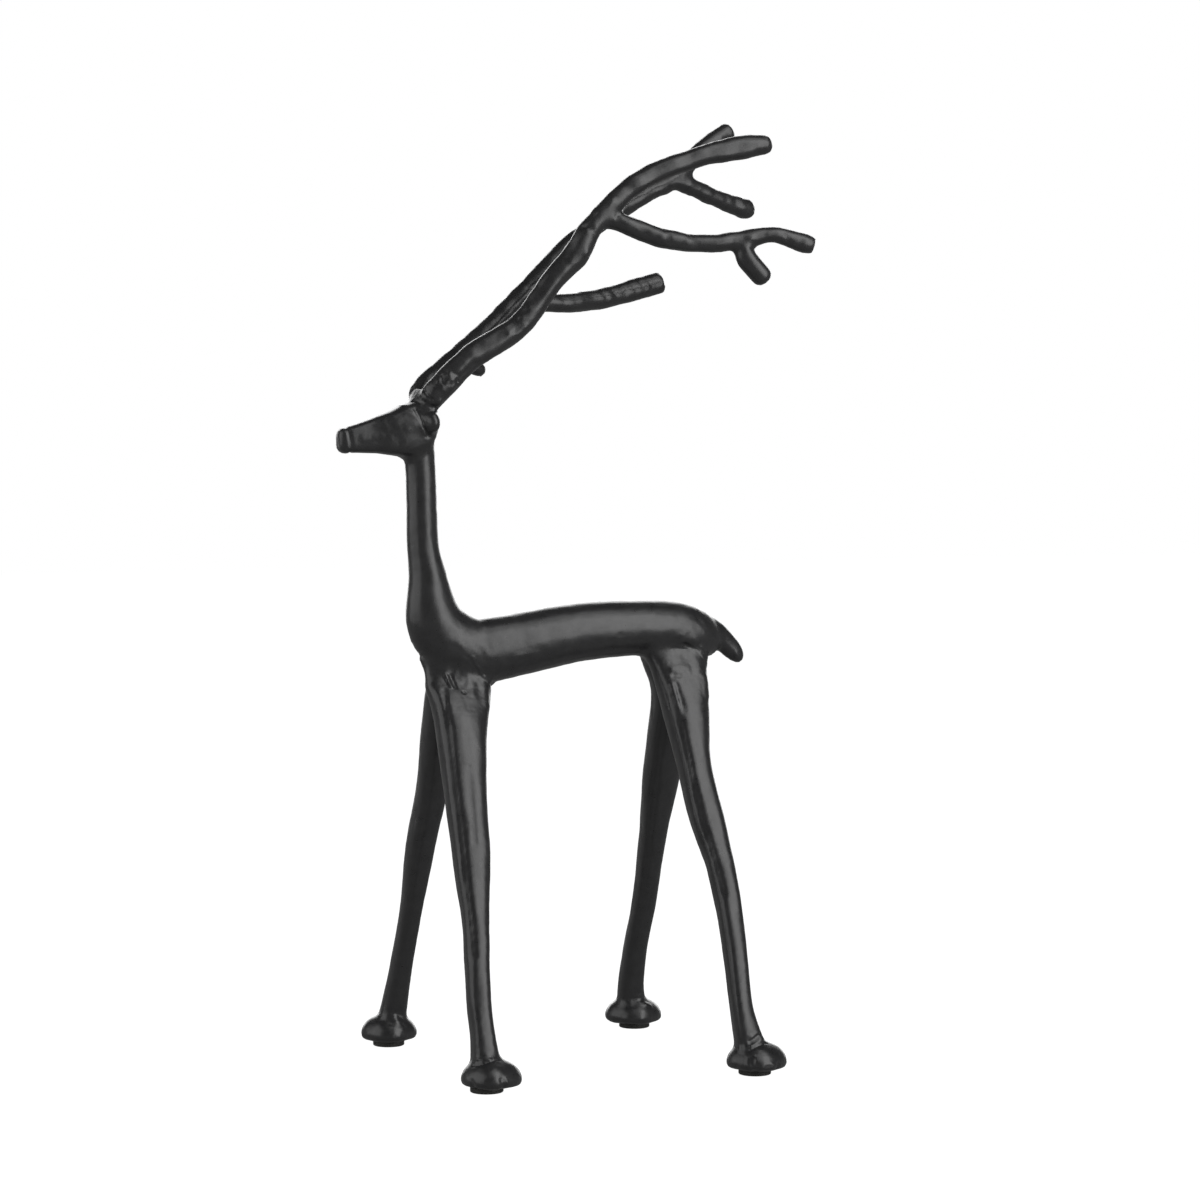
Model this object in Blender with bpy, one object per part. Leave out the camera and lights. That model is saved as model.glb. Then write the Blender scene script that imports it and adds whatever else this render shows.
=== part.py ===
"""Cast iron stag statue: one black casting that stands on four round rubber pads.

The stag looks along -X, its left side is -Y and up is +Z. Lengths are in metres.
The casting is a free form: its stations are shares of its own height, in units of
which it stands UNITS_TALL from its soles to the tip of its right antler.
"""
import math
from typing import NamedTuple

import bmesh
import bpy
from mathutils import Vector

# Driving dimensions
STAG_HEIGHT = 0.499
UNITS_TALL = 499
UNIT = STAG_HEIGHT / UNITS_TALL

# Rubber pads under the hooves
PAD_DIAMETER = 0.017
PAD_HEIGHT = 0.0027
PAD_RIM_ROUNDING = 0.0004
PAD_SEAT_GAP = 0.0003
PAD_SIDES = 24

# Hooves: a flat sole a little wider than its pad, under a squat dome with four soft lobes
SOLE_MARGIN = 0.0028
HOOF_FLARE = 0.0036
HOOF_WAIST_HEIGHT = 0.0032
HOOF_HEIGHT = 0.0134
HOOF_CROWN_RADIUS = 0.0055
HOOF_SLOPE = 1.3
HOOF_LOBES = 4
HOOF_LOBE_DEPTH = 0.0010
HOOF_TURN = math.radians(-22.5)
HOOF_SIDES = 20
HOOF_RINGS_BELOW = 2
HOOF_RINGS_ABOVE = 4

# Cast sections: how square each limb's section is, where 2 is an ellipse
ROUND = 2.0
FACETED = 2.7
PLANED = 3.0
CHISELLED = 3.4


class Station(NamedTuple):
    """One section of a limb, in units: its centre and its half widths."""

    x: float
    y: float
    z: float
    profile: float
    lateral: float


class Limb(NamedTuple):
    """A lofted limb: its stations, and how finely and how squarely it is cut."""

    name: str
    stations: list
    sides: int
    steps: int
    squareness: float


TRUNK = Limb("trunk", [
    Station(-82, 0, 328, 8, 7.5),
    Station(-80.7, 0, 303, 8, 8),
    Station(-79.9, 0, 274, 8.3, 8.5),
    Station(-77.4, 0, 256, 9.9, 10),
    Station(-72.4, 0, 229.5, 15.8, 13),
    Station(-55, 0, 216, 17.2, 14),
    Station(-36, 0, 217, 16.7, 14.5),
    Station(9, 0, 224.2, 15.5, 14.5),
    Station(52, 0, 225.5, 14.5, 14.5),
    Station(71, 0, 222.4, 14.2, 13.5),
    Station(81.5, 0, 217.5, 10.8, 10),
    Station(86.5, 0, 213, 5.5, 5),
], 16, 3, ROUND)

TAIL = Limb("tail", [
    Station(76, 0, 226.5, 8, 7.5),
    Station(86.5, 0, 221.5, 6.8, 6),
    Station(94.5, 0, 215, 5.8, 4.5),
    Station(99.5, 0, 209.5, 4.5, 3.8),
    Station(102, 0, 206, 2.2, 2),
], 10, 2, ROUND)

HEAD = Limb("head", [
    Station(-126, 0, 325.1, 4.8, 4),
    Station(-123.5, 0, 325.4, 6.5, 5.5),
    Station(-119, 0, 326.2, 7, 6.2),
    Station(-106, 0, 328.2, 9.3, 7.3),
    Station(-98, 0, 329.2, 11.3, 9.8),
    Station(-88, 0, 330.8, 13.8, 10.8),
    Station(-80, 0, 334.3, 11, 10.8),
    Station(-74.5, 0, 336.5, 5.8, 7),
], 16, 2, CHISELLED)

CROWN = Limb("crown", [
    Station(-81.5, 0, 335, 6.5, 10),
    Station(-80, 0, 344, 6, 10.5),
    Station(-77.5, 0, 351, 5, 10.5),
], 12, 2, FACETED)

# Ears: a small flattened ball on each side of the head, in units
EAR_CENTRE = Vector((-78.8, 11.5, 335))
EAR_REACH = Vector((4.2, 6, 5.8))
EAR_SUBDIVISIONS = 2

LEGS = [
    Limb("front_left", [
        Station(-70, -1.5, 219, 15.4, 4),
        Station(-65.2, -3.6, 209.5, 15.6, 5),
        Station(-62.8, -6.5, 197, 17.6, 6.8),
        Station(-64.8, -16, 179, 13.7, 9.5),
        Station(-67.5, -28.5, 149, 10.8, 9),
        Station(-68, -40, 111, 9.3, 8),
        Station(-69.5, -50, 78, 6.5, 6.8),
        Station(-71.5, -59, 43, 5.8, 6.3),
        Station(-70.9, -63.5, 24, 6, 6.5),
        Station(-70, -66.5, 5, 8, 8),
    ], 14, 2, PLANED),
    Limb("front_right", [
        Station(-60, 3, 208, 12, 4),
        Station(-62.3, 7.5, 196, 12.3, 7.5),
        Station(-63.5, 16, 176, 10.5, 9),
        Station(-64.9, 31, 137, 7.8, 8),
        Station(-67.5, 40, 109, 7.3, 7.3),
        Station(-69, 50, 77, 5.6, 6.5),
        Station(-71, 62, 42, 5.6, 6.3),
        Station(-72.5, 69.5, 19, 6.8, 6.8),
        Station(-74.5, 72, 5, 8, 8),
    ], 14, 2, PLANED),
    Limb("hind_left", [
        Station(62, -4.5, 215, 19.5, 5.5),
        Station(62.2, -8, 203, 15.4, 8),
        Station(62.6, -15.8, 182, 12.1, 9.5),
        Station(62.5, -27, 154, 8.6, 8.7),
        Station(64, -38, 129, 8.6, 8.3),
        Station(67.6, -51, 100, 6.8, 7.2),
        Station(68.5, -63.5, 67, 6.1, 6.5),
        Station(68.5, -72, 37, 5.4, 6.3),
        Station(70.5, -75.5, 20, 6.6, 6.8),
        Station(74, -76.8, 5, 8.2, 8),
    ], 14, 2, PLANED),
    Limb("hind_right", [
        Station(61.5, 5, 214, 17, 5.5),
        Station(66, 9, 192, 12, 9),
        Station(67, 20, 164, 10.2, 9),
        Station(67.5, 31, 135, 9.2, 8.3),
        Station(67.2, 40, 107, 6.8, 7.2),
        Station(67.6, 52, 71, 6.2, 6.5),
        Station(66.3, 63, 39, 6.2, 6.3),
        Station(67, 69.5, 18, 6.9, 6.8),
        Station(70, 71.8, 5, 8.4, 8),
    ], 14, 2, PLANED),
]


class Foot(NamedTuple):
    """A foot, in units: its pad's centre, how far its hoof sits off it, and the hoof's extra reach."""

    x: float
    y: float
    hoof_x: float
    hoof_y: float
    spread: float


FEET = {
    "front_left": Foot(-70.2, -67.4, 2.2, -0.9, 0.5),
    "front_right": Foot(-74.8, 72.4, 0.4, 0.5, 0.3),
    "hind_left": Foot(74.9, -76.9, 0.7, -0.7, 0.8),
    "hind_right": Foot(70.3, 72.0, -0.5, 0.4, 1.0),
}

ANTLERS = [
    Limb("left_beam", [
        Station(-79, -8, 345, 6, 5.5),
        Station(-74.3, -9, 351.5, 6.9, 6.6),
        Station(-58.3, -11, 367.6, 6.6, 6.4),
        Station(-43, -12, 377.5, 6.7, 6.3),
        Station(-29, -13, 387, 6.3, 6),
        Station(-14.5, -14, 407, 6, 6),
        Station(0.5, -15.5, 423.5, 7, 6.6),
        Station(9.2, -16.5, 438, 5.8, 5.8),
        Station(32.5, -19, 460.3, 5.5, 5.6),
        Station(64.5, -22, 474, 5.4, 5.6),
        Station(91, -24.5, 480.3, 6.3, 5.8),
        Station(107.3, -25.5, 482.6, 4.8, 4.8),
    ], 10, 2, ROUND),
    Limb("left_branch", [
        Station(8, -15, 443, 4.5, 5),
        Station(24, -19, 439.2, 4.9, 5.2),
        Station(45, -24, 431.5, 5.1, 5.2),
        Station(68.5, -29, 429, 4.7, 5),
        Station(89, -32, 431.5, 5, 5),
        Station(104.5, -35, 434, 4.2, 4.8),
        Station(120.5, -37, 430, 5.2, 5.1),
        Station(126.5, -38, 428.6, 4.6, 4.6),
    ], 10, 2, ROUND),
    Limb("left_stub", [
        Station(87, -31, 433, 4.5, 4.5),
        Station(89.8, -33, 421.5, 5.6, 5.4),
        Station(100.5, -35.5, 409.5, 5.2, 5),
    ], 8, 2, ROUND),
    Limb("right_beam", [
        Station(-79.5, 9, 346, 4.3, 5),
        Station(-77.5, 10, 352, 5, 6),
        Station(-65.8, 11.5, 362.1, 5.2, 6),
        Station(-45.6, 12, 378.4, 5.3, 5.8),
        Station(-17.1, 14, 404.5, 5.2, 5.7),
        Station(10.7, 16, 430.8, 5.2, 5.6),
        Station(51, 20, 456, 5, 5.4),
        Station(72.5, 23, 466.3, 4.9, 5.2),
        Station(90.5, 27, 482.8, 5, 5.2),
        Station(108.5, 30, 494.6, 5.4, 5.4),
    ], 10, 2, ROUND),
    Limb("right_fork", [
        Station(70, 21, 465, 4, 4),
        Station(80.5, 24, 463.6, 4.9, 4.8),
        Station(101, 28, 456.6, 4.7, 4.6),
        Station(118.5, 32, 452.4, 5.5, 5.2),
        Station(124, 33, 452.5, 4.6, 4.4),
    ], 8, 2, ROUND),
    Limb("right_tine", [
        Station(-22, 14, 399, 4.5, 4.5),
        Station(5.5, 19, 398.5, 5, 5.2),
        Station(31, 25, 401.5, 5.5, 5.5),
        Station(56, 29, 408, 6, 5.8),
        Station(68, 30.5, 411, 5.8, 5.6),
    ], 8, 2, ROUND),
    Limb("right_spur", [
        Station(-62, 11, 363.5, 4, 4),
        Station(-50, 14, 364.5, 3.8, 3.8),
        Station(-39.5, 17, 362, 3.2, 3.2),
    ], 8, 2, ROUND),
]


def clear_scene():
    """Empty the scene, so that only the stag is left in it."""
    for thing in list(bpy.data.objects):
        bpy.data.objects.remove(thing, do_unlink=True)


def black_paint():
    """Satin black paint on the casting."""
    return plain_material("black_cast_iron", (0.012, 0.012, 0.013), 0.42, 0.0)


def black_rubber():
    """Matt black rubber of the pads."""
    return plain_material("black_rubber", (0.010, 0.010, 0.010), 0.75, 0.0)


def plain_material(name, colour, roughness, metallic):
    """A material of one colour, as it looks from a distance."""
    material = bpy.data.materials.new(name)
    material.use_nodes = True
    shader = material.node_tree.nodes["Principled BSDF"]
    shader.inputs["Base Color"].default_value = (*colour, 1.0)
    shader.inputs["Roughness"].default_value = roughness
    shader.inputs["Metallic"].default_value = metallic
    return material


def between(before, start, end, after, share):
    """A station on the smooth curve from start to end, at a share of the way."""
    values = []
    for a, b, c, d in zip(before, start, end, after):
        slope_start = (c - a) / 2
        slope_end = (d - b) / 2
        bend = 3 * (c - b) - 2 * slope_start - slope_end
        twist = 2 * (b - c) + slope_start + slope_end
        values.append(b + slope_start * share + bend * share ** 2 + twist * share ** 3)
    return Station(*values)


def smooth_stations(stations, steps):
    """Stations along a smooth curve through the given ones, steps to a span."""
    padded = [stations[0], *stations, stations[-1]]
    smooth = []
    for index in range(len(stations) - 1):
        span = padded[index:index + 4]
        smooth += [between(*span, step / steps) for step in range(steps)]
    return [*smooth, stations[-1]]


def rounded_square(angle, squareness):
    """A point of the unit section: a circle at 2, nearer a square above it."""
    def reach(value):
        return math.copysign(abs(value) ** (2 / squareness), value)
    return reach(math.cos(angle)), reach(math.sin(angle))


def section(station, along, sides, squareness):
    """The points of one section, square to the direction of the limb."""
    across = Vector((0, 1, 0))
    across = (across - across.dot(along) * along).normalized()
    outward = along.cross(across)
    centre = Vector((station.x, station.y, station.z))
    points = []
    for side in range(sides):
        out, wide = rounded_square(2 * math.pi * (side + 0.5) / sides, squareness)
        offset = outward * station.profile * out + across * station.lateral * wide
        points.append((centre + offset) * UNIT)
    return points


def skin(name, rings):
    """A closed mesh over rings of points, flat at both ends."""
    shape = bmesh.new()
    loops = [[shape.verts.new(point) for point in ring] for ring in rings]
    for lower, upper in zip(loops, loops[1:]):
        for side in range(len(lower)):
            after = (side + 1) % len(lower)
            shape.faces.new((lower[side], lower[after], upper[after], upper[side]))
    shape.faces.new(loops[0])
    shape.faces.new(loops[-1])
    bmesh.ops.recalc_face_normals(shape, faces=shape.faces)
    mesh = bpy.data.meshes.new(name)
    shape.to_mesh(mesh)
    shape.free()
    return mesh


def add_object(name, mesh, holder):
    """An object for a mesh, standing in the stag's own frame."""
    thing = bpy.data.objects.new(name, mesh)
    bpy.context.scene.collection.objects.link(thing)
    thing.parent = holder
    return thing


def add_limb(limb, holder):
    """One lofted limb."""
    stations = smooth_stations(limb.stations, limb.steps)
    rings = []
    for index, station in enumerate(stations):
        ahead = stations[min(index + 1, len(stations) - 1)]
        behind = stations[max(index - 1, 0)]
        along = (Vector(ahead[:3]) - Vector(behind[:3])).normalized()
        rings.append(section(station, along, limb.sides, limb.squareness))
    return add_object(limb.name, skin(limb.name, rings), holder)


def add_ear(name, side, holder):
    """A flattened ball on one side of the head: side is -1 for left and 1 for right."""
    centre = Vector((EAR_CENTRE.x, side * EAR_CENTRE.y, EAR_CENTRE.z))
    shape = bmesh.new()
    bmesh.ops.create_icosphere(shape, subdivisions=EAR_SUBDIVISIONS, radius=1.0)
    for vertex in shape.verts:
        vertex.co = (centre + vertex.co * EAR_REACH) * UNIT
    mesh = bpy.data.meshes.new(name)
    shape.to_mesh(mesh)
    shape.free()
    return add_object(name, mesh, holder)


def hoof_profile(spread):
    """Radius and height of the hoof's rings, from the sole up to its crown."""
    sole = PAD_DIAMETER / 2 + SOLE_MARGIN
    flare = HOOF_FLARE + spread
    widest = sole + flare
    rings = []
    for step in range(HOOF_RINGS_BELOW):
        turn = math.pi / 2 * step / HOOF_RINGS_BELOW
        rings.append((sole + flare * math.sin(turn), HOOF_WAIST_HEIGHT * (1 - math.cos(turn))))
    for step in range(HOOF_RINGS_ABOVE + 1):
        turn = math.pi / 2 * step / HOOF_RINGS_ABOVE
        radius = HOOF_CROWN_RADIUS + (widest - HOOF_CROWN_RADIUS) * math.cos(turn) ** HOOF_SLOPE
        height = HOOF_WAIST_HEIGHT + (HOOF_HEIGHT - HOOF_WAIST_HEIGHT) * math.sin(turn)
        rings.append((radius, height))
    return rings


def add_hoof(name, foot, holder):
    """A squat lobed hoof over its pad."""
    centre = Vector((foot.x + foot.hoof_x, foot.y + foot.hoof_y, 0)) * UNIT
    rings = []
    for radius, height in hoof_profile(foot.spread * UNIT):
        ring = []
        for side in range(HOOF_SIDES):
            angle = 2 * math.pi * side / HOOF_SIDES
            lobe = (1 - math.cos(HOOF_LOBES * (angle - HOOF_TURN))) / 2
            reach = radius - HOOF_LOBE_DEPTH * lobe
            ring.append(centre + Vector((reach * math.cos(angle), reach * math.sin(angle), height)))
        rings.append(ring)
    return add_object(name, skin(name, rings), holder)


def add_pad(name, foot, holder, material):
    """A round rubber pad under a hoof, with its lower rim rounded."""
    centre = Vector((foot.x, foot.y, 0)) * UNIT
    radius = PAD_DIAMETER / 2
    top = -PAD_SEAT_GAP
    bottom = top - PAD_HEIGHT
    rings = []
    levels = [(radius - PAD_RIM_ROUNDING, bottom), (radius, bottom + PAD_RIM_ROUNDING), (radius, top)]
    for reach, height in levels:
        angles = [2 * math.pi * side / PAD_SIDES for side in range(PAD_SIDES)]
        rings.append([centre + Vector((reach * math.cos(a), reach * math.sin(a), height)) for a in angles])
    pad = add_object(name, skin(name, rings), holder)
    pad.data.materials.append(material)
    return pad


def join_casting(body, others):
    """Unite every other part with the body into one closed casting."""
    for other in others:
        union = body.modifiers.new(other.name, "BOOLEAN")
        union.operation = "UNION"
        union.solver = "EXACT"
        union.object = other
        other.hide_render = True
        other.display_type = "WIRE"


def centre_over_origin(holder, things):
    """Stand the stag on the ground with its box centred over the origin."""
    bpy.context.view_layer.update()
    corners = [thing.matrix_world @ vertex.co for thing in things for vertex in thing.data.vertices]
    lowest = Vector([min(corner[axis] for corner in corners) for axis in range(3)])
    highest = Vector([max(corner[axis] for corner in corners) for axis in range(3)])
    middle = (lowest + highest) / 2
    holder.location -= Vector((middle.x, middle.y, lowest.z))


def main():
    """Build the casting and its pads."""
    clear_scene()
    holder = bpy.data.objects.new("stag_frame", None)
    bpy.context.scene.collection.objects.link(holder)
    stag = add_limb(TRUNK, holder)
    stag.name = "stag"
    stag.data.materials.append(black_paint())
    others = [add_limb(limb, holder) for limb in (TAIL, HEAD, CROWN, *LEGS, *ANTLERS)]
    others += [add_ear("left_ear", -1, holder), add_ear("right_ear", 1, holder)]
    rubber = black_rubber()
    pads = []
    for name, foot in FEET.items():
        others.append(add_hoof(f"hoof_{name}", foot, holder))
        pads.append(add_pad(f"foot_pad_{name}", foot, holder, rubber))
    join_casting(stag, others)
    centre_over_origin(holder, [stag, *others, *pads])


main()
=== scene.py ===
"""Cast iron stag statue: one satin black casting on four round rubber pads, in soft studio light.

The stag looks along -X, its left side is -Y and up is +Z. Lengths are in metres, but the casting
is a free form, so its sections, marks and grain are given in units: it stands 499 of them tall.
A bearing goes round a limb from 0, the side that faces the viewer: on the legs and the neck it
grows towards the muzzle, and on the body, head and antlers it grows downwards.
"""

import logging
import math
from dataclasses import dataclass
from enum import Enum

import bmesh
import bpy
import numpy as np
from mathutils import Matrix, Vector, noise
from mathutils.kdtree import KDTree


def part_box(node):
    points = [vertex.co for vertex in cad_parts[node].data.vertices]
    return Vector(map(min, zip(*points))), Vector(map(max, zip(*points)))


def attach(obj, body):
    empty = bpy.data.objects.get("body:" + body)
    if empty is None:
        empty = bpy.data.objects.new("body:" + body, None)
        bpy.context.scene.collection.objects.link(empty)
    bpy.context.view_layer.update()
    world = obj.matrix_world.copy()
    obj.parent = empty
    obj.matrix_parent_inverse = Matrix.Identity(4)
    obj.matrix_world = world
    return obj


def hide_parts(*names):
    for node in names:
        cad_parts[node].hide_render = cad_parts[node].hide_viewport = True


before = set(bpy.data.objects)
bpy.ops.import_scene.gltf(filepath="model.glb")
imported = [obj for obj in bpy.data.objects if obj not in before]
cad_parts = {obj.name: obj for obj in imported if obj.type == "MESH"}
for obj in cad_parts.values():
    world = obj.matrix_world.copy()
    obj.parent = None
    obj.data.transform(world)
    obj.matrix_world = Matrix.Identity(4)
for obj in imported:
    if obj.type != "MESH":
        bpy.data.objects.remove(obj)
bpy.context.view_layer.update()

log = logging.getLogger("stag")

UNIT = 0.001
VIEW_AZIMUTH = math.radians(-22.5)
NEAR = np.array([math.sin(VIEW_AZIMUTH), -math.cos(VIEW_AZIMUTH), 0.0])
RIGHTWARD = np.array([math.cos(VIEW_AZIMUTH), math.sin(VIEW_AZIMUTH), 0.0])
ACROSS = np.array([0.0, 1.0, 0.0])
PHOTO_WIDTH = 1200


class Form(Enum):
    """How square a limb's section is: the power of its superellipse."""

    ROUND = 2.0
    FACETED = 2.7
    PLANED = 3.0
    CHISELLED = 3.4


class End(Enum):
    """How a limb ends: the depth of its rounding as a share of its half width, and its flat's share."""

    BURIED = (0.0, 1.0)
    CUT = (0.22, 0.86)
    WORN = (0.75, 0.4)


class Edge(Enum):
    """How steeply a mark's edge leaves the skin, next to one that slopes all the way to its middle."""

    SOFT = 1.0
    STEEP = 2.6

    def weigh(self, share: np.ndarray) -> np.ndarray:
        """How strongly the mark acts at a share of its half width.

        Args:
            share: Distances from the mark's middle line, 1 at its edge.

        Returns:
            Weights from 1 on the middle line to 0 at the edge and beyond.
        """
        inside = np.clip((1.0 - share) * self.value, 0.0, 1.0)
        return inside ** 2 * (3.0 - 2.0 * inside)


@dataclass(frozen=True)
class Station:
    """One section of a limb, in units: its centre and its half widths."""

    x: float
    y: float
    z: float
    profile: float
    lateral: float


@dataclass(frozen=True)
class Mark:
    """A groove, ridge, dent or lump in the skin, along a run of (station, bearing) points.

    On a hoof the first number of a point is the height above its sole.
    """

    run: tuple[tuple[float, float], ...]
    width: float
    height: float


@dataclass(frozen=True)
class Scar:
    """A rough round patch in a limb's skin, where iron was joined, broken off or ground away."""

    place: tuple[float, float]
    reach: float
    height: float
    size: float


@dataclass(frozen=True)
class Hand:
    """How the founder's hand and the sand left a limb's skin, in units: lumps, dimples and grain."""

    lumps: float
    lump_size: float
    dimples: float
    dimple_size: float
    grain: float
    stretch: float = 1.0


SMOOTH_HAND = Hand(0.2, 13.0, 0.1, 4.4, 0.035)
HEAD_HAND = Hand(0.22, 10.0, 0.05, 4.2, 0.02)
LEG_HAND = Hand(0.42, 8.5, 0.1, 3.6, 0.04, 3.2)
ANTLER_HAND = Hand(0.55, 9.5, 0.13, 4.2, 0.035)
ROUGH_HAND = Hand(0.55, 9.0, 0.20, 3.2, 0.07)


@dataclass(frozen=True)
class Limb:
    """A lofted limb of the casting, with its ends, its marks and the look of its skin."""

    name: str
    stations: tuple[Station, ...]
    form: Form
    hand: Hand
    first: End = End.BURIED
    last: End = End.BURIED
    marks: tuple[Mark, ...] = ()
    scars: tuple[Scar, ...] = ()


class Path:
    """A limb's smooth centre line, sampled finely, with its section at each sample."""

    def __init__(self, limb: Limb, steps: int) -> None:
        """Sample the limb.

        Args:
            limb: The limb to follow.
            steps: Samples from one station to the next.
        """
        self.limb = limb
        self.steps = steps
        self.rows = self.sampled()
        self.centres = self.rows[:, :3]
        gone = np.diff(self.centres, axis=0, append=self.centres[-1:])
        come = np.diff(self.centres, axis=0, prepend=self.centres[:1])
        self.along = unit_rows(gone + come)
        self.across = unit_rows(ACROSS - self.along * (self.along @ ACROSS)[:, None])
        self.outward = np.cross(self.along, self.across)
        self.near = unit_rows(NEAR - self.along * (self.along @ NEAR)[:, None])
        self.side = np.cross(self.along, self.near)

    def sampled(self) -> np.ndarray:
        """The stations along a smooth curve.

        Returns:
            Rows of x, y, z, profile and lateral.
        """
        given = np.array([[s.x, s.y, s.z, s.profile, s.lateral] for s in self.limb.stations])
        padded = np.vstack([given[:1], given, given[-1:]])
        share = (np.arange(self.steps) / self.steps)[:, None]
        rows = []
        for a, b, c, d in zip(padded, padded[1:], padded[2:], padded[3:]):
            rise, fall = (c - a) / 2, (d - b) / 2
            bend = 3 * (c - b) - 2 * rise - fall
            twist = 2 * (b - c) + rise + fall
            rows.append(b + rise * share + bend * share ** 2 + twist * share ** 3)
        return np.vstack([*rows, given[-1:]])

    def narrowing(self) -> np.ndarray:
        """Round the limb's ends.

        Returns:
            The share of its half widths that each sample keeps.
        """
        gone = np.linalg.norm(np.diff(self.centres, axis=0), axis=1)
        from_first = np.concatenate([[0.0], np.cumsum(gone)])
        keep = np.ones(len(self.rows))
        ends = ((self.limb.first, from_first), (self.limb.last, from_first[-1] - from_first))
        for end, distance in ends:
            depth, flat = end.value
            if depth:
                reach = depth * self.rows[:, 3]
                inside = np.clip(1.0 - distance / reach, 0.0, 1.0)
                keep *= flat + (1.0 - flat) * np.sqrt(1.0 - inside ** 2)
        return keep

    def rings(self, sides: int) -> np.ndarray:
        """Rings of points over the limb's skin.

        Args:
            sides: Points to a ring.

        Returns:
            An array of samples by sides by 3, in units.
        """
        angle = 2 * np.pi * (np.arange(sides) + 0.5) / sides
        power = 2 / self.limb.form.value
        out = np.copysign(np.abs(np.cos(angle)) ** power, np.cos(angle))
        wide = np.copysign(np.abs(np.sin(angle)) ** power, np.sin(angle))
        keep = self.narrowing()[:, None]
        profile = (self.rows[:, 3:4] * keep) * out
        lateral = (self.rows[:, 4:5] * keep) * wide
        return (self.centres[:, None] + self.outward[:, None] * profile[:, :, None]
                + self.across[:, None] * lateral[:, :, None])

    def on_skin(self, station: float, bearing: float) -> np.ndarray:
        """A point of the limb's skin, in units.

        Args:
            station: Where along the limb, as a station's number and a share of the way on.
            bearing: Where round the limb, in degrees from the side that faces the viewer.

        Returns:
            The point where that bearing leaves the limb's section.
        """
        place = station * self.steps
        low = int(min(max(place, 0), len(self.rows) - 2))
        share = place - low
        row = self.rows[low] * (1 - share) + self.rows[low + 1] * share
        turn = math.radians(bearing)
        way = self.near[low] * math.cos(turn) + self.side[low] * math.sin(turn)
        power = self.limb.form.value
        out, wide = abs(way @ self.outward[low]) / row[3], abs(way @ self.across[low]) / row[4]
        return row[:3] + way * (out ** power + wide ** power) ** (-1 / power)


def placed(name: str, data: bpy.types.ID) -> bpy.types.Object:
    """A new object that carries the data, in the scene.

    Args:
        name: The object's name.
        data: Its mesh, camera or light.

    Returns:
        The new object.
    """
    made = bpy.data.objects.new(name, data)
    bpy.context.scene.collection.objects.link(made)
    return made


def unit_rows(rows: np.ndarray) -> np.ndarray:
    """The rows scaled to a length of one."""
    return rows / np.maximum(np.linalg.norm(rows, axis=-1, keepdims=True), 1e-12)


class Shell:
    """Closed skins gathered as plain points and faces, before they become one casting."""

    def __init__(self) -> None:
        """Start with no skin."""
        self.points: list[np.ndarray] = []
        self.faces: list[tuple[int, ...]] = []
        self.count = 0

    def add_rings(self, rings: np.ndarray) -> None:
        """Add a closed skin over rings of points, flat at both ends.

        Args:
            rings: An array of rings by sides by 3, in units.
        """
        levels, sides = rings.shape[:2]
        start = self.count
        for level in range(levels - 1):
            low, high = start + level * sides, start + (level + 1) * sides
            for side in range(sides):
                after = (side + 1) % sides
                self.faces.append((low + side, high + side, high + after, low + after))
        self.faces.append(tuple(range(start, start + sides)))
        self.faces.append(tuple(reversed(range(start + (levels - 1) * sides, start + levels * sides))))
        self.points.append(rings.reshape(-1, 3))
        self.count += levels * sides

    def mesh(self, name: str, origin: np.ndarray) -> bpy.types.Mesh:
        """The gathered skins as one mesh.

        Args:
            name: The mesh's name.
            origin: Where the stag's own origin lies, in metres.

        Returns:
            The new mesh, in metres.
        """
        mesh = bpy.data.meshes.new(name)
        mesh.from_pydata((np.vstack(self.points) * UNIT + origin).tolist(), [], self.faces)
        shape = bmesh.new()
        shape.from_mesh(mesh)
        bmesh.ops.recalc_face_normals(shape, faces=shape.faces)
        shape.to_mesh(mesh)
        shape.free()
        return mesh


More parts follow.
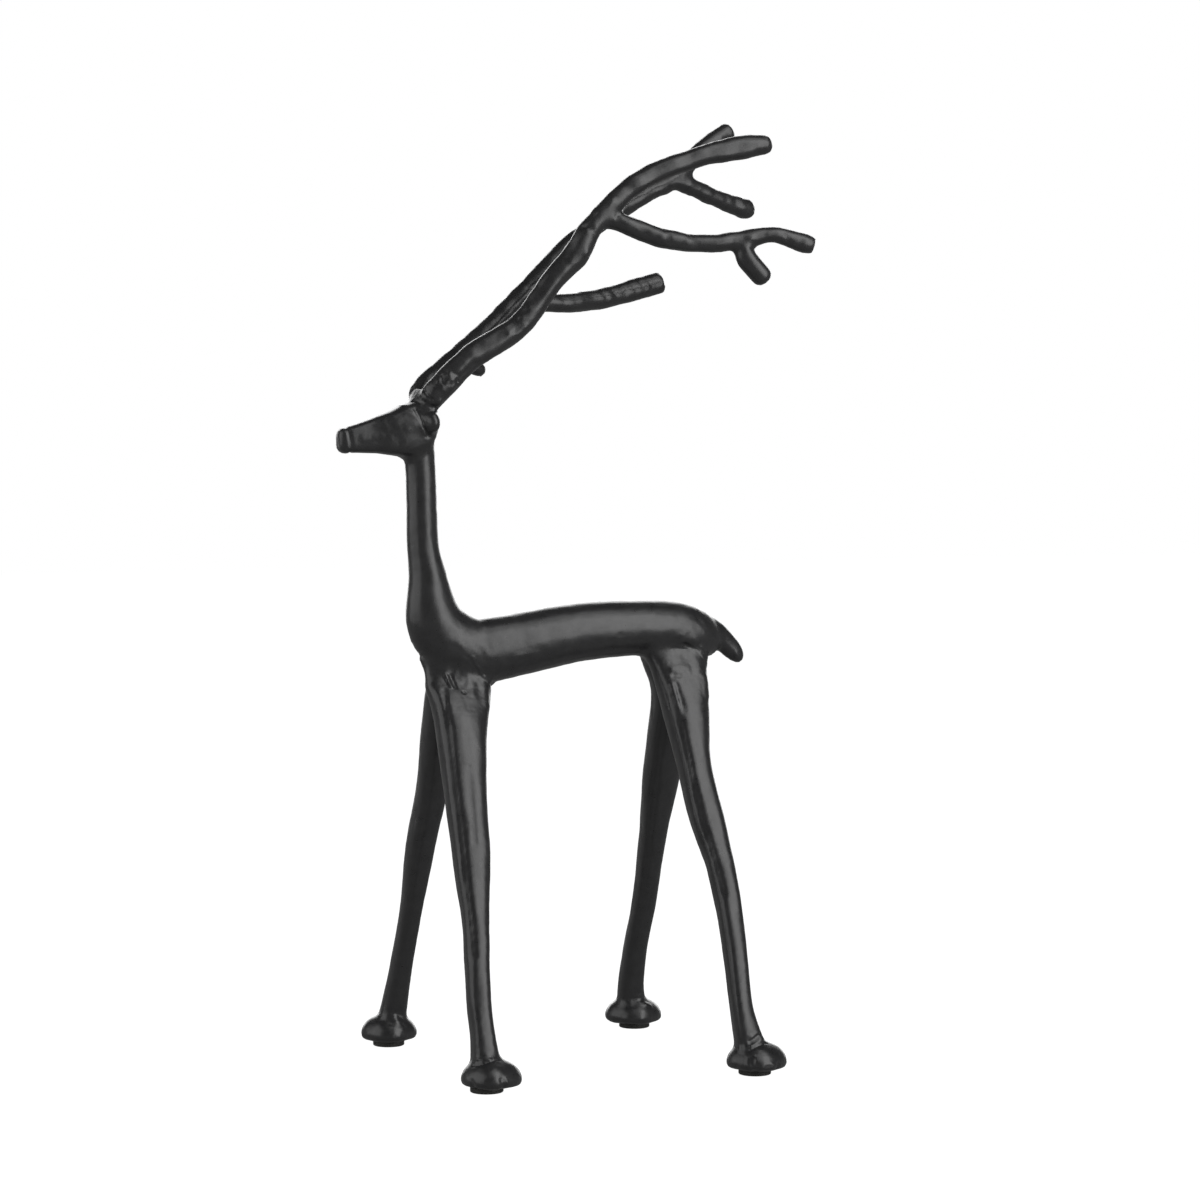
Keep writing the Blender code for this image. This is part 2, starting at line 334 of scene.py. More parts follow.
@dataclass
class Trunk:
    """Neck and body, drawn as one bent bar, and the tail on its end."""

    neck_and_body: tuple[Station, ...] = (
        Station(-82, 0, 328, 8, 7.5),
        Station(-80.7, 0, 303, 8, 8),
        Station(-79.9, 0, 274, 8.3, 8.5),
        Station(-77.4, 0, 256, 9.9, 10),
        Station(-72.4, 0, 229.5, 15.8, 13),
        Station(-55, 0, 216, 17.2, 14),
        Station(-36, 0, 217, 16.7, 14.5),
        Station(9, 0, 224.2, 15.5, 14.5),
        Station(52, 0, 225.5, 14.5, 14.5),
        Station(71, 0, 222.4, 14.2, 13.5),
        Station(81.5, 0, 217.5, 10.8, 10),
        Station(86.5, 0, 213, 5.5, 5),
    )
    tail: tuple[Station, ...] = (
        Station(76, 0, 226.5, 8, 7.5),
        Station(86.5, 0, 221.5, 6.8, 6),
        Station(94.5, 0, 215, 5.8, 4.5),
        Station(99.5, 0, 209.5, 4.5, 3.8),
        Station(102, 0, 206, 2.2, 2),
    )

    def limbs(self) -> list[Limb]:
        """The trunk's limbs, with the marks of its making.

        Returns:
            The bar of neck and body, and the tail.
        """
        body_marks = (
            Mark(((6.1, 20), (6.35, 26)), 3.2, 0.3),
            Mark(((7.35, 12),), 1.6, -0.4),
            Mark(((8.5, 15), (8.95, 12)), 3.4, 0.55),
            Mark(((8.6, 26), (8.9, 27)), 1.5, -0.5),
            Mark(((9.35, 20),), 3.2, 0.5),
            Mark(((5.62, 86),), 3.6, 1.6),
        )
        body_scars = (
            Scar((5.0, 42), 10.0, 0.28, 3.6),
            Scar((5.6, 48), 10.0, 0.25, 3.8),
            Scar((8.85, 30), 10.0, 0.32, 5.0),
        )
        tail_marks = (
            Mark(((1.2, 0), (2.0, -6), (3.0, -10), (3.6, 0)), 1.5, 0.5),
        )
        return [
            Limb("trunk", self.neck_and_body, Form.ROUND, SMOOTH_HAND, marks=body_marks, scars=body_scars),
            Limb("tail", self.tail, Form.ROUND, HEAD_HAND, last=End.WORN, marks=tail_marks),
        ]


@dataclass
class Head:
    """A blunt wedge of a head, the crown that carries the antlers, and two small ball ears."""

    wedge: tuple[Station, ...] = (
        Station(-126, 0, 325.1, 4.8, 4),
        Station(-123.5, 0, 325.4, 6.5, 5.5),
        Station(-119, 0, 326.2, 7, 6.2),
        Station(-106, 0, 328.2, 9.3, 7.3),
        Station(-98, 0, 329.2, 11.3, 9.8),
        Station(-88, 0, 330.8, 13.8, 10.8),
        Station(-80, 0, 334.3, 11, 10.8),
        Station(-74.5, 0, 336.5, 5.8, 7),
    )
    crown: tuple[Station, ...] = (
        Station(-81.5, 0, 335, 6.5, 10),
        Station(-80, 0, 344, 6, 10.5),
        Station(-77.5, 0, 351, 5, 10.5),
    )
    ear_centre: tuple[float, float, float] = (-78.8, 11.5, 335)
    ear_reach: tuple[float, float, float] = (4.2, 6, 5.8)
    ear_rings: int = 14
    ear_sides: int = 28

    def limbs(self) -> list[Limb]:
        """The head's lofted limbs, with the groove round the muzzle.

        Returns:
            The wedge and the crown.
        """
        muzzle = tuple((1.7, bearing) for bearing in range(-120, 121, 20))
        marks = (
            Mark(muzzle, 1.8, -0.5),
            Mark(((3.75, -34), (3.95, 0), (4.15, 30)), 3.8, -0.4),
            Mark(((2.4, 6), (3.1, 4)), 3.4, 0.35),
            Mark(((4.7, -6), (5.05, -8)), 4.6, 0.4),
            Mark(((5.6, -36), (5.65, 0), (5.6, 36)), 1.7, -0.7),
        )
        collar = (
            Mark(((1.0, 40), (1.1, 0), (1.0, -40)), 2.2, -0.5),
        )
        return [
            Limb("head", self.wedge, Form.CHISELLED, HEAD_HAND, first=End.CUT, marks=marks),
            Limb("crown", self.crown, Form.FACETED, ANTLER_HAND, marks=collar),
        ]

    def add_ears(self, shell: Shell) -> None:
        """Add both ears to the shell, as flattened balls.

        Args:
            shell: The shell to add them to.
        """
        rise = np.pi * (np.arange(self.ear_rings) + 0.5) / self.ear_rings
        turn = 2 * np.pi * np.arange(self.ear_sides) / self.ear_sides
        ball = np.stack([
            np.sin(rise)[:, None] * np.cos(turn),
            np.sin(rise)[:, None] * np.sin(turn),
            np.broadcast_to(np.cos(rise)[:, None], (self.ear_rings, self.ear_sides)),
        ], axis=-1)
        for side in (-1, 1):
            centre = np.array(self.ear_centre) * (1, side, 1)
            shell.add_rings(centre + ball * self.ear_reach)


@dataclass
class Leg:
    """One leg, planed along its length, with the scars where it joins the body."""

    name: str
    stations: tuple[Station, ...]
    marks: tuple[Mark, ...] = ()
    scars: tuple[Scar, ...] = ()

    def limb(self) -> Limb:
        """The leg as a limb of the casting."""
        return Limb(self.name, self.stations, Form.PLANED, LEG_HAND, marks=self.marks, scars=self.scars)


@dataclass
class Hoof:
    """A squat lobed dome that spreads over its rubber pad."""

    x: float
    y: float
    shift_x: float
    shift_y: float
    spread: float
    marks: tuple[Mark, ...] = ()
    pad_radius: float = 8.5
    margin: float = 2.8
    flare: float = 3.6
    waist_height: float = 3.2
    height: float = 13.4
    crown_radius: float = 5.5
    slope: float = 1.3
    lobes: int = 4
    lobe_depth: float = 1.0
    turn: float = VIEW_AZIMUTH
    sides: int = 64
    rings_each: int = 9

    def profile(self) -> list[tuple[float, float]]:
        """The dome's outline.

        Returns:
            The radius and height of each ring, from the sole up to the crown.
        """
        sole = self.pad_radius + self.margin
        flare = self.flare + self.spread
        widest = sole + flare
        rings = []
        for step in range(self.rings_each):
            angle = math.pi / 2 * step / self.rings_each
            rings.append((sole + flare * math.sin(angle), self.waist_height * (1 - math.cos(angle))))
        for step in range(self.rings_each + 1):
            angle = math.pi / 2 * step / self.rings_each
            radius = self.crown_radius + (widest - self.crown_radius) * math.cos(angle) ** self.slope
            rings.append((radius, self.waist_height + (self.height - self.waist_height) * math.sin(angle)))
        return rings

    def on_skin(self, height: float, bearing: float) -> np.ndarray:
        """A point of the dome's skin, in units.

        Args:
            height: How high above the sole.
            bearing: Where round the dome, in degrees from the side that faces the viewer.

        Returns:
            The point, on the dome without its creases.
        """
        radii, heights = zip(*self.profile())
        radius = float(np.interp(height, heights, radii))
        turn = math.radians(bearing)
        way = NEAR * math.cos(turn) - RIGHTWARD * math.sin(turn)
        return np.array([self.x + self.shift_x, self.y + self.shift_y, height]) + way * radius

    def add_to(self, shell: Shell) -> None:
        """Add the dome to the shell, each lobe a little fuller than the creases between them.

        Args:
            shell: The shell to add it to.
        """
        angle = 2 * np.pi * np.arange(self.sides) / self.sides
        crease = np.abs(np.sin(self.lobes / 2 * (angle - self.turn))) ** 3
        rings = []
        for radius, height in self.profile():
            reach = radius - self.lobe_depth * crease
            rings.append(np.stack([
                self.x + self.shift_x + reach * np.cos(angle),
                self.y + self.shift_y + reach * np.sin(angle),
                np.full(self.sides, height),
            ], axis=-1))
        shell.add_rings(np.array(rings))


@dataclass
class Antler:
    """One antler: its beam, and the branches that leave it."""

    limbs: list[Limb]


def left_antler() -> Antler:
    """The antler on the viewer's side.

    Returns:
        Its beam, and its branch with a short stub.
    """
    beam = (
        Station(-79, -8, 345, 6, 5.5),
        Station(-74.3, -9, 351.5, 6.9, 6.6),
        Station(-58.3, -11, 367.6, 6.6, 6.4),
        Station(-43, -12, 377.5, 6.7, 6.3),
        Station(-29, -13, 387, 6.3, 6),
        Station(-14.5, -14, 407, 6, 6),
        Station(0.5, -15.5, 423.5, 7, 6.6),
        Station(9.2, -16.5, 438, 5.8, 5.8),
        Station(32.5, -19, 460.3, 5.5, 5.6),
        Station(64.5, -22, 474, 5.4, 5.6),
        Station(91, -24.5, 480.3, 6.3, 5.8),
        Station(107.3, -25.5, 482.6, 4.8, 4.8),
    )
    branch = (
        Station(8, -15, 443, 4.5, 5),
        Station(24, -19, 439.2, 4.9, 5.2),
        Station(45, -24, 431.5, 5.1, 5.2),
        Station(68.5, -29, 429, 4.7, 5),
        Station(89, -32, 431.5, 5, 5),
        Station(104.5, -35, 434, 4.2, 4.8),
        Station(120.5, -37, 430, 5.2, 5.1),
        Station(126.5, -38, 428.6, 4.6, 4.6),
    )
    stub = (
        Station(87, -31, 433, 4.5, 4.5),
        Station(89.8, -33, 421.5, 5.6, 5.4),
        Station(100.5, -35.5, 409.5, 5.2, 5),
    )
    beam_marks = (
        Mark(((0.65, -66), (0.5, -30), (0.38, 6)), 1.6, -0.8),
        Mark(((0.55, 50),), 3.2, 0.8),
        Mark(((1.5, 34), (2.0, 38)), 3.4, -0.5),
        Mark(((2.3, -12), (3.2, -14)), 3.4, -0.4),
        Mark(((3.6, 10),), 2.0, -0.7),
        Mark(((3.9, 25),), 2.4, 0.7),
        Mark(((4.0, -20),), 2.8, 0.7),
        Mark(((4.4, -15), (5.6, -18)), 3.2, -0.5),
        Mark(((6.1, 40),), 3.6, 0.9),
        Mark(((6.75, -40), (6.85, 0), (6.75, 40)), 2.0, -0.7),
        Mark(((7.2, -20), (7.5, -10)), 3.0, 0.6),
        Mark(((7.8, 0), (8.4, 8), (9.3, -6), (10.2, 6)), 3.4, -0.5),
    )
    beam_scars = (
        Scar((1.3, 16), 7.5, 0.9, 2.8),
        Scar((3.45, 18), 5.0, 0.6, 2.8),
        Scar((10.6, 0), 6.0, 0.4, 3.2),
    )
    branch_marks = tuple(
        Mark(((place, -70), (place + 0.08, -20)), 1.7, -0.7)
        for place in (0.75, 2.0, 2.55)
    ) + (
        Mark(((2.1, 45), (3.1, 50)), 1.6, 0.5),
        Mark(((4.1, 0),), 3.6, 0.7),
        Mark(((5.2, -20), (5.5, 30)), 1.8, -0.5),
    )
    return Antler([
        Limb("left_beam", beam, Form.ROUND, ANTLER_HAND, last=End.WORN, marks=beam_marks, scars=beam_scars),
        Limb("left_branch", branch, Form.ROUND, ANTLER_HAND, last=End.CUT, marks=branch_marks,
             scars=(Scar((6.4, 0), 8.0, 0.4, 3.2),)),
        Limb("left_stub", stub, Form.ROUND, ANTLER_HAND, last=End.WORN),
    ])


def right_antler() -> Antler:
    """The antler on the far side.

    Returns:
        Its beam, its fork, its low tine and its spur.
    """
    beam = (
        Station(-79.5, 9, 346, 4.3, 5),
        Station(-77.5, 10, 352, 5, 6),
        Station(-65.8, 11.5, 362.1, 5.2, 6),
        Station(-45.6, 12, 378.4, 5.3, 5.8),
        Station(-17.1, 14, 404.5, 5.2, 5.7),
        Station(10.7, 16, 430.8, 5.2, 5.6),
        Station(51, 20, 456, 5, 5.4),
        Station(72.5, 23, 466.3, 4.9, 5.2),
        Station(90.5, 27, 482.8, 5, 5.2),
        Station(108.5, 30, 494.6, 5.4, 5.4),
    )
    fork = (
        Station(70, 21, 465, 4, 4),
        Station(80.5, 24, 463.6, 4.9, 4.8),
        Station(101, 28, 456.6, 4.7, 4.6),
        Station(118.5, 32, 452.4, 5.5, 5.2),
        Station(124, 33, 452.5, 4.6, 4.4),
    )
    tine = (
        Station(-22, 14, 399, 4.5, 4.5),
        Station(5.5, 19, 398.5, 5, 5.2),
        Station(31, 25, 401.5, 5.5, 5.5),
        Station(56, 29, 408, 6, 5.8),
        Station(68, 30.5, 411, 5.8, 5.6),
    )
    spur = (
        Station(-62, 11, 363.5, 4, 4),
        Station(-50, 14, 364.5, 3.8, 3.8),
        Station(-39.5, 17, 362, 3.2, 3.2),
    )
    file_marks = tuple(
        Mark(((1.9 + step * 0.24, -50), (2.0 + step * 0.24, 20)), 1.3, -0.4)
        for step in range(7)
    )
    return Antler([
        Limb("right_beam", beam, Form.ROUND, ROUGH_HAND, last=End.CUT),
        Limb("right_fork", fork, Form.ROUND, ROUGH_HAND, last=End.WORN,
             scars=(Scar((2.6, 0), 8.0, 0.45, 3.4),)),
        Limb("right_tine", tine, Form.ROUND, ANTLER_HAND, last=End.CUT, marks=file_marks),
        Limb("right_spur", spur, Form.ROUND, ANTLER_HAND, last=End.WORN),
    ])


def four_legs() -> list[Leg]:
    """The four legs.

    Returns:
        Each leg, with the marks and scars that it carries.
    """
    front_left = (
        Station(-69.6, -1.5, 219, 14.4, 4),
        Station(-65.2, -3.6, 209.5, 15.6, 5),
        Station(-62.8, -6.5, 197, 17.6, 6.8),
        Station(-64.8, -16, 179, 13.7, 9.5),
        Station(-67.5, -28.5, 149, 10.8, 9),
        Station(-68, -40, 111, 9.3, 8),
        Station(-69.5, -50, 78, 6.5, 6.8),
        Station(-71.5, -59, 43, 5.8, 6.3),
        Station(-70.9, -63.5, 24, 6, 6.5),
        Station(-70, -66.5, 5, 8, 8),
    )
    front_right = (
        Station(-60, 3, 208, 12, 4),
        Station(-62.3, 7.5, 196, 12.3, 7.5),
        Station(-63.5, 16, 176, 10.5, 9),
        Station(-64.9, 31, 137, 7.8, 8),
        Station(-67.5, 40, 109, 7.3, 7.3),
        Station(-69, 50, 77, 5.6, 6.5),
        Station(-71, 62, 42, 5.6, 6.3),
        Station(-72.5, 69.5, 19, 6.8, 6.8),
        Station(-74.5, 72, 5, 8, 8),
    )
    hind_left = (
        Station(62, -4.5, 215, 19.5, 5.5),
        Station(62.2, -8, 203, 15.4, 8),
        Station(62.6, -15.8, 182, 12.1, 9.5),
        Station(62.5, -27, 154, 8.6, 8.7),
        Station(64, -38, 129, 8.6, 8.3),
        Station(67.6, -51, 100, 6.8, 7.2),
        Station(68.5, -63.5, 67, 6.1, 6.5),
        Station(68.5, -72, 37, 5.4, 6.3),
        Station(70.5, -75.5, 20, 6.6, 6.8),
        Station(74, -76.8, 5, 8.2, 8),
    )
    hind_right = (
        Station(61.5, 5, 214, 17, 5.5),
        Station(66, 9, 192, 12, 9),
        Station(67, 20, 164, 10.2, 9),
        Station(67.5, 31, 135, 9.2, 8.3),
        Station(67.2, 40, 107, 6.8, 7.2),
        Station(67.6, 52, 71, 6.2, 6.5),
        Station(66.3, 63, 39, 6.2, 6.3),
        Station(67, 69.5, 18, 6.9, 6.8),
        Station(70, 71.8, 5, 8.4, 8),
    )
    return [
        Leg("front_left", front_left, (
            Mark(((1.4, 31), (2.1, 19)), 1.5, 0.8),
            Mark(((1.5, 17), (2.12, 5)), 1.3, -0.8),
            Mark(((2.33, -20), (2.36, -26)), 1.3, -0.7),
            Mark(((2.15, -88), (2.6, -88)), 4.2, 0.6),
            Mark(((2.3, 32), (3.0, 29), (3.7, 26), (4.6, 22), (5.6, 20), (6.4, 12)), 2.9, -0.65),
            Mark(((3.8, -20), (4.1, -23), (4.5, -24), (4.8, -22)), 1.3, -0.4),
            Mark(((8.48, 26), (8.54, -20)), 1.4, 0.7),
            Mark(((8.66, 40), (8.7, 0), (8.6, -44)), 1.6, -0.6),
        ), (
            Scar((1.7, 0), 9.0, 0.24, 4.0),
            Scar((2.2, -60), 7.0, 0.26, 4.0),
            Scar((8.6, -20), 8.0, 0.3, 3.4),
        )),
        Leg("front_right", front_right, (
            Mark(((7.4, -16), (7.65, -34)), 3.2, 1.0),
            Mark(((7.1, -30), (7.3, -52)), 2.0, -0.6),
        ), (
            Scar((7.4, -20), 9.0, 0.5, 3.2),
        )),
        Leg("hind_left", hind_left, (
            Mark(((1.06, 20), (1.04, -30)), 3.4, 0.35),
            Mark(((1.25, 16), (1.27, 4)), 2.6, -0.4),
            Mark(((1.35, -84), (1.75, -82)), 4.2, 0.6),
            Mark(((1.5, 14), (2.1, 6)), 2.2, -0.35),
            Mark(((1.5, 24), (2.1, 16)), 2.2, 0.35),
            Mark(((2.3, 20), (3.3, 15), (4.4, 13), (5.4, 10)), 2.6, -0.6),
            Mark(((8.3, -4), (8.18, -62)), 1.3, -0.6),
            Mark(((8.45, -4), (8.33, -64)), 1.7, 0.6),
            Mark(((8.62, 0), (8.52, -62)), 1.4, -0.6),
        ), (
            Scar((1.0, -10), 9.0, 0.2, 4.4),
            Scar((8.4, 0), 8.0, 0.35, 3.4),
        )),
        Leg("hind_right", hind_right, tuple(
            Mark(((3.6 + step * 0.16, 60), (3.62 + step * 0.16, -60)), 1.1, -0.25)
            for step in range(12)
        ) + tuple(
            Mark(((1.15 + step * 0.08, 80), (1.2 + step * 0.08, 62)), 1.1, -0.5)
            for step in range(5)
        ) + (
            Mark(((7.45, -34), (7.75, -52)), 3.0, 0.9),
            Mark(((7.15, 0), (7.3, -70)), 1.6, -0.6),
        ), (
            Scar((7.5, -30), 9.0, 0.5, 3.2),
        )),
    ]


def four_hooves() -> dict[str, Hoof]:
    """The four hooves.

    Returns:
        Each hoof by the name of its foot.
    """
    return {
        "front_left": Hoof(-70.2, -67.4, 2.2, -0.9, 0.5, (
            Mark(((0.4, -28), (3.0, -27), (5.6, -24)), 3.0, -0.6),
            Mark(((0.4, 38), (4.5, 41)), 2.6, -0.5),
        )),
        "front_right": Hoof(-74.8, 72.4, 0.4, 0.5, 0.3),
        "hind_left": Hoof(74.9, -76.9, 0.7, -0.7, 0.8, (
            Mark(((0.4, 8), (3.5, 9), (6.5, 12)), 3.0, -0.7),
            Mark(((3.0, -14), (3.0, -32)), 4.0, 0.45),
            Mark(((1.2, -46), (4.0, -48)), 2.4, -0.5),
        )),
        "hind_right": Hoof(70.3, 72.0, -0.5, 0.4, 1.0),
    }


class Skin:
    """The casting's skin as arrays in units, for shaping: its points, normals and neighbours."""

    pulls: tuple[float, float] = (0.55, -0.56)
    crease_slack: float = 0.004
    crease_share: float = 0.9
    rounds_to_normals: int = 5
    mark_depth: float = 4.5
    mark_wobble: float = 2.6
    uneven_width: float = 0.25
    uneven_height: float = 0.35
    beyond: float = 1e9

    def __init__(self, mesh: bpy.types.Mesh, origin: np.ndarray) -> None:
        """Read the mesh.

        Args:
            mesh: The casting's mesh, in metres.
            origin: Where the stag's own origin lies, in metres.
        """
        self.mesh = mesh
        self.origin = origin
        count = len(mesh.vertices)
        flat = np.zeros(count * 3)
        mesh.vertices.foreach_get("co", flat)
        self.points = (flat.reshape(-1, 3) - origin) / UNIT
        pairs = np.zeros(len(mesh.edges) * 2, dtype=np.int64)
        mesh.edges.foreach_get("vertices", pairs)
        self.ends = pairs.reshape(-1, 2)
        self.degree = np.bincount(pairs, minlength=count).astype(float)
        self.normals = np.zeros((count, 3))
        self.write()

    def write(self) -> None:
        """Put the points back in the mesh, and read its new normals."""
        self.mesh.vertices.foreach_set("co", (self.points * UNIT + self.origin).ravel())
        self.mesh.update()
        flat = np.zeros(len(self.points) * 3, dtype=np.float32)
        self.mesh.vertex_normals.foreach_get("vector", flat)
        self.normals = flat.reshape(-1, 3).astype(float)

    def spread(self, values: np.ndarray) -> np.ndarray:
        """Spread values over the skin by one step.

        Args:
            values: One value or one row of values to a point.

        Returns:
            For each point, the mean of its neighbours' values.
        """
        columns = values.reshape(len(values), -1)
        total = np.empty_like(columns)
        first, second = self.ends.T
        for column in range(columns.shape[1]):
            total[:, column] = (
                np.bincount(first, columns[second, column], len(values))
                + np.bincount(second, columns[first, column], len(values))
            )
        return (total / self.degree[:, None]).reshape(values.shape)

    def soften(self, rounds: int) -> None:
        """Even out the skin without shrinking it.

        Args:
            rounds: How many times the points are drawn together and let out again.
        """
        for _ in range(rounds):
            for pull in self.pulls:
                self.points += (self.spread(self.points) - self.points) * pull
        self.write()

    def fill_creases(self, rounds: int) -> None:
        """Fill the creases where limbs meet, as poured iron does, and leave the rest alone.

        Args:
            rounds: How far the filling reaches, in steps of one neighbour.
        """
        for step in range(rounds):
            pull = self.spread(self.points) - self.points
            rise = np.maximum((pull * self.normals).sum(axis=1) - self.crease_slack, 0.0)
            self.points += self.normals * (rise * self.crease_share)[:, None]
            if (step + 1) % self.rounds_to_normals == 0:
                self.write()
        self.write()

    def press(self, mark: Mark, path: Path | Hoof) -> None:
        """Press or raise one mark in the skin.

        Args:
            mark: The mark, with its run, width and height.
            path: The limb or hoof that carries it.
        """
        run = np.array([path.on_skin(*place) for place in mark.run])
        low, high = run.min(axis=0) - mark.width * 2, run.max(axis=0) + mark.width * 2
        chosen = np.flatnonzero(((self.points > low) & (self.points < high)).all(axis=1))
        if not len(chosen):
            return
        points, normals = self.points[chosen], self.normals[chosen]
        nearest = np.full(len(chosen), self.beyond)
        for start, stop in zip(run, run[1:] if len(run) > 1 else run):
            step = stop - start
            share = np.clip((points - start) @ step / max(step @ step, 1e-9), 0.0, 1.0)
            gap = points - start - share[:, None] * step
            rise = (gap * normals).sum(axis=1)
            sideways = np.sqrt(np.maximum((gap * gap).sum(axis=1) - rise ** 2, 0.0))
            nearest = np.minimum(nearest, np.where(np.abs(rise) < self.mark_depth, sideways, self.beyond))
        wobble = np.array([noise.noise(Vector(point) / self.mark_wobble) for point in points])
        weight = Edge.SOFT.weigh(nearest / mark.width * (1.0 + self.uneven_width * wobble))
        rise = weight * mark.height * (1.0 + self.uneven_height * wobble)
        self.points[chosen] += normals * rise[:, None]

    def roughen(self, scar: Scar, path: Path) -> None:
        """Raise and pit the skin in a rough patch.

        Args:
            scar: The patch, with its place, reach, height and the size of its lumps.
            path: The limb that carries it.
        """
        middle = path.on_skin(*scar.place)
        distance = np.linalg.norm(self.points - middle, axis=1)
        chosen = np.flatnonzero(distance < scar.reach)
        weight = Edge.STEEP.weigh(distance[chosen] / scar.reach)
        lumps = np.array([noise.noise(Vector(point) / scar.size) for point in self.points[chosen]])
        self.points[chosen] += self.normals[chosen] * (weight * lumps * scar.height)[:, None]

    def hold_within(self, low: np.ndarray, high: np.ndarray) -> None:
        """Keep every point inside a box.

        Args:
            low: The box's low corner, in units.
            high: The box's high corner, in units.
        """
        self.points = np.clip(self.points, low, high)
        self.write()


@dataclass
class Casting:
    """The whole stag as one iron casting."""

    trunk: Trunk
    head: Head
    legs: list[Leg]
    hooves: dict[str, Hoof]
    antlers: list[Antler]
    origin: np.ndarray
    steps: int = 8
    sides: int = 40
    voxel: float = 1.45
    first_softening: int = 2
    crease_rounds: int = 24
    last_softening: int = 1
    blend_rounds: int = 10
    candidates: int = 5
    grain_size: float = 1.3
    dimple_shift: tuple[float, float, float] = (7, 3, 1)
    fine_zones: tuple[tuple[float, float, float, float], ...] = (
        (-102, 0, 328, 27),
        (-68, -10, 352, 19),
        (-62, -12, 196, 19),
        (66, -12, 198, 20),
        (-69, -68, 8, 19),
        (75, -77, 8, 20),
    )

    def limbs(self) -> list[Limb]:
        """Gather the lofted limbs.

        Returns:
            Every limb of the casting.
        """
        found = [*self.trunk.limbs(), *self.head.limbs()]
        found += [leg.limb() for leg in self.legs]
        for antler in self.antlers:
            found += antler.limbs
        return found

    def rough_mesh(self, paths: list[Path]) -> bpy.types.Mesh:
        """All limbs, ears and hooves as overlapping closed skins.

        Args:
            paths: The limbs' paths.

        Returns:
            A new mesh of all the skins.
        """
        shell = Shell()
        for path in paths:
            shell.add_rings(path.rings(self.sides))
        self.head.add_ears(shell)
        for hoof in self.hooves.values():
            hoof.add_to(shell)
        return shell.mesh("rough_stag", self.origin)

    def one_skin(self, rough: bpy.types.Mesh) -> bpy.types.Mesh:
        """The overlapping skins poured into one.

        Args:
            rough: The mesh of overlapping skins, which is removed.

        Returns:
            A new mesh with a single closed skin.
        """
        holder = placed("rough_stag", rough)
        pour = holder.modifiers.new("one_skin", "REMESH")
        pour.mode = "VOXEL"
        pour.voxel_size = self.voxel * UNIT
        bpy.context.view_layer.update()
        graph = bpy.context.evaluated_depsgraph_get()
        mesh = bpy.data.meshes.new_from_object(holder.evaluated_get(graph))
        bpy.data.objects.remove(holder, do_unlink=True)
        bpy.data.meshes.remove(rough)
        mesh.name = "stag_casting"
        return mesh

    def refine(self, mesh: bpy.types.Mesh) -> None:
        """Cut the skin finer where it carries small marks.

        Args:
            mesh: The casting's mesh, in metres.
        """
        shape = bmesh.new()
        shape.from_mesh(mesh)
        chosen = set()
        for x, y, z, reach in self.fine_zones:
            centre = Vector((x, y, z)) * UNIT + Vector(self.origin)
            for edge in shape.edges:
                if (edge.verts[0].co - centre).length < reach * UNIT:
                    chosen.add(edge)
        bmesh.ops.subdivide_edges(shape, edges=list(chosen), cuts=1, use_grid_fill=True)
        bmesh.ops.triangulate(shape, faces=[face for face in shape.faces if len(face.verts) > 4])
        shape.to_mesh(mesh)
        shape.free()

    def hands(self, skin: Skin, paths: list[Path]) -> np.ndarray:
        """The look of the skin at each point, blended from limb to limb.

        Args:
            skin: The casting's skin.
            paths: The limbs' paths.

        Returns:
            Rows of lumps, dimples, grain, lump size, dimple size and stretch.
        """
        samples = [(centre, row[3] + row[4], path.limb.hand)
                   for path in paths for centre, row in zip(path.centres, path.rows)]
        tree = KDTree(len(samples))
        for index, (centre, _, _) in enumerate(samples):
            tree.insert(centre, index)
        tree.balance()
        rows = []
        for point in skin.points:
            found = tree.find_n(point, self.candidates)
            best = min(found, key=lambda hit: hit[2] / samples[hit[1]][1])
            hand = samples[best[1]][2]
            rows.append((hand.lumps, hand.dimples, hand.grain,
                         hand.lump_size, hand.dimple_size, hand.stretch))
        blended = np.array(rows)
        for _ in range(self.blend_rounds):
            blended = skin.spread(blended)
        return blended

    def weather(self, skin: Skin, paths: list[Path]) -> None:
        """Give the skin the lumps, dimples and grain of sand casting and hand filing.

        Args:
            skin: The casting's skin.
            paths: The limbs' paths.
        """
        looks = self.hands(skin, paths)
        shift = Vector(self.dimple_shift)
        rise = np.zeros(len(skin.points))
        for index, (point, look) in enumerate(zip(skin.points, looks)):
            lumps, dimples, grain, lump_size, dimple_size, stretch = look
            place = Vector(point)
            long_place = Vector((place.x, place.y, place.z / stretch))
            rise[index] = (
                lumps * noise.noise(long_place / lump_size)
                + dimples * noise.noise(long_place / dimple_size + shift)
                + grain * noise.noise(place / self.grain_size)
            )
        skin.points += skin.normals * rise[:, None]
        skin.write()

    def build(self) -> bpy.types.Object:
        """Make the casting.

        Returns:
            The finished object, in place.
        """
        paths = [Path(limb, self.steps) for limb in self.limbs()]
        mesh = self.one_skin(self.rough_mesh(paths))
        skin = Skin(mesh, self.origin)
        skin.soften(self.first_softening)
        skin.fill_creases(self.crease_rounds)
        self.refine(mesh)
        skin = Skin(mesh, self.origin)
        skin.soften(self.last_softening)
        for path in paths:
            for mark in path.limb.marks:
                skin.press(mark, path)
        for hoof in self.hooves.values():
            for mark in hoof.marks:
                skin.press(mark, hoof)
        skin.write()
        for path in paths:
            for scar in path.limb.scars:
                skin.roughen(scar, path)
        skin.write()
        self.weather(skin, paths)
        low, high = (np.array(corner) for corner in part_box("stag"))
        skin.hold_within((low - self.origin) / UNIT, (high - self.origin) / UNIT)
        mesh.polygons.foreach_set("use_smooth", np.ones(len(mesh.polygons), dtype=bool))
        return placed("stag_casting", mesh)


